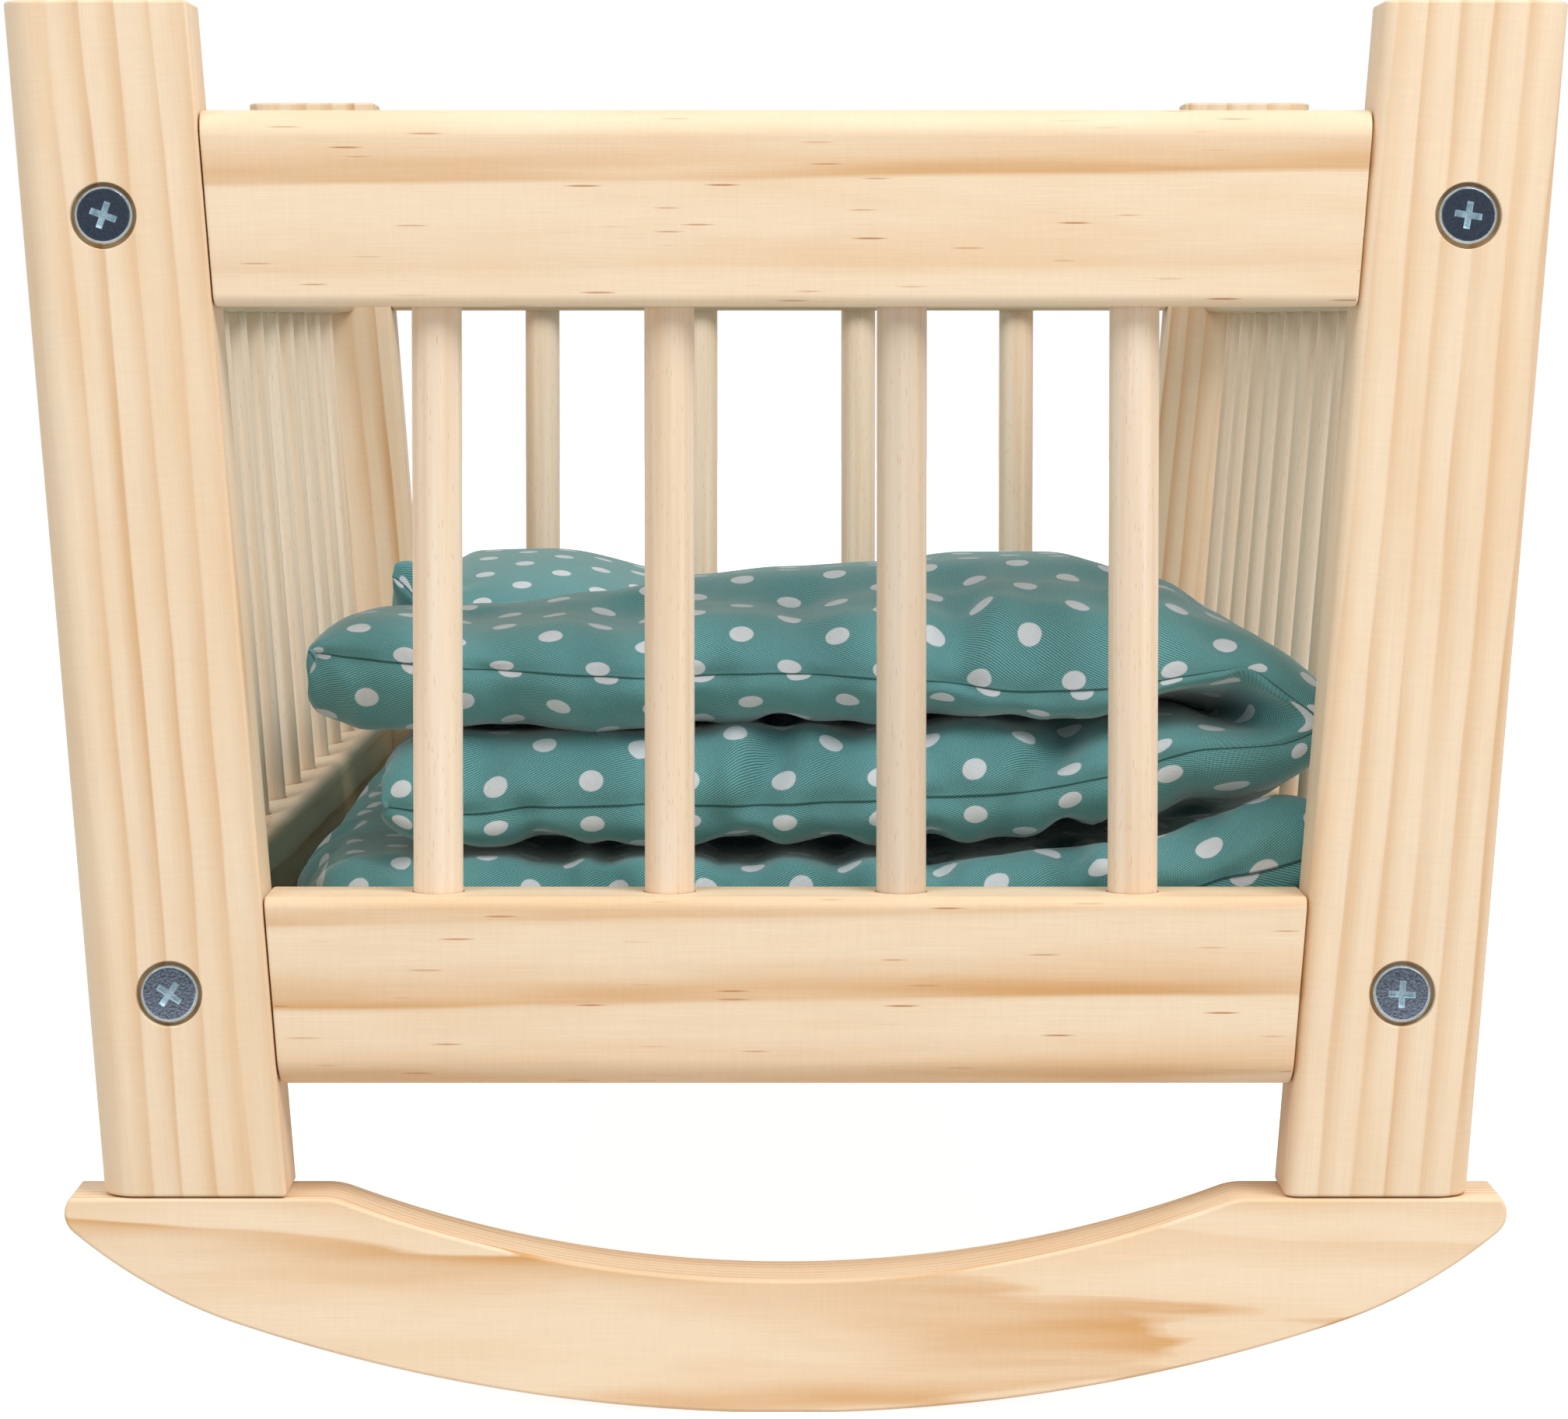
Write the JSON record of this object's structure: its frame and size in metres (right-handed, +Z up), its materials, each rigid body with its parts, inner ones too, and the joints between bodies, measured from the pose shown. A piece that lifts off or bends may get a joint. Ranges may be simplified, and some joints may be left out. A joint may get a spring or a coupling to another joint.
{
  "type": "doll cradle",
  "caption": "Slatted wooden rocking cradle for a doll on two curved rockers, with mattress, folded duvet and pillow.",
  "frame": {"origin": "on the floor, midway between the rockers' lowest points", "axes": "+Z up, +Y along the cradle from the front end to the rear end, +X to the right seen from the front end"},
  "size_m": [0.3108, 0.46, 0.2814],
  "materials": {
    "pine": "planed and sanded bare pine, satin",
    "spindle_wood": "turned bare dowel, satin",
    "plywood": "raw plywood, matt",
    "zinc_steel": "bright zinc plate with a blue tinge",
    "cotton_print": "teal cotton twill printed with white dots"
  },
  "bodies": {
    "root": {"post_front_right": "pine", "post_front_left": "pine", "post_rear_right": "pine", "post_rear_left": "pine", "end_rail_upper_front": "pine", "end_rail_upper_rear": "pine", "end_rail_lower_front": "pine", "end_rail_lower_rear": "pine", "side_rail_upper_right": "pine", "side_rail_upper_left": "pine", "side_rail_lower_right": "pine", "side_rail_lower_left": "pine", "rocker_front": "pine", "rocker_rear": "pine", "base_panel": "plywood", "end_spindle_front_1": "spindle_wood", "end_spindle_front_2": "spindle_wood", "end_spindle_front_3": "spindle_wood", "end_spindle_front_4": "spindle_wood", "end_spindle_rear_1": "spindle_wood", "end_spindle_rear_2": "spindle_wood", "end_spindle_rear_3": "spindle_wood", "end_spindle_rear_4": "spindle_wood", "side_spindle_right_01": "spindle_wood", "side_spindle_right_02": "spindle_wood", "side_spindle_right_03": "spindle_wood", "side_spindle_right_04": "spindle_wood", "side_spindle_right_05": "spindle_wood", "side_spindle_right_06": "spindle_wood", "side_spindle_right_07": "spindle_wood", "side_spindle_right_08": "spindle_wood", "side_spindle_right_09": "spindle_wood", "side_spindle_right_10": "spindle_wood", "side_spindle_right_11": "spindle_wood", "side_spindle_left_01": "spindle_wood", "side_spindle_left_02": "spindle_wood", "side_spindle_left_03": "spindle_wood", "side_spindle_left_04": "spindle_wood", "side_spindle_left_05": "spindle_wood", "side_spindle_left_06": "spindle_wood", "side_spindle_left_07": "spindle_wood", "side_spindle_left_08": "spindle_wood", "side_spindle_left_09": "spindle_wood", "side_spindle_left_10": "spindle_wood", "side_spindle_left_11": "spindle_wood", "frame_screw_upper_front_right": "zinc_steel", "frame_screw_upper_front_left": "zinc_steel", "frame_screw_upper_rear_right": "zinc_steel", "frame_screw_upper_rear_left": "zinc_steel", "frame_screw_lower_front_right": "zinc_steel", "frame_screw_lower_front_left": "zinc_steel", "frame_screw_lower_rear_right": "zinc_steel", "frame_screw_lower_rear_left": "zinc_steel", "rocker_screw_front_right": "zinc_steel", "rocker_screw_front_left": "zinc_steel", "rocker_screw_rear_right": "zinc_steel", "rocker_screw_rear_left": "zinc_steel"},
    "mattress": {"mattress": "cotton_print"},
    "duvet": {"duvet": "cotton_print"},
    "pillow": {"pillow": "cotton_print"}
  },
  "joints": [
    {"name": "mattress_lift", "type": "slide", "parent": "root", "child": "mattress", "axis": [0, 0, 1], "range_m": [0, 0.3]},
    {"name": "duvet_lift", "type": "slide", "parent": "mattress", "child": "duvet", "axis": [0, 0, 1], "range_m": [0, 0.2]},
    {"name": "pillow_lift", "type": "slide", "parent": "mattress", "child": "pillow", "axis": [0, 0, 1], "range_m": [0, 0.2]}
  ]
}
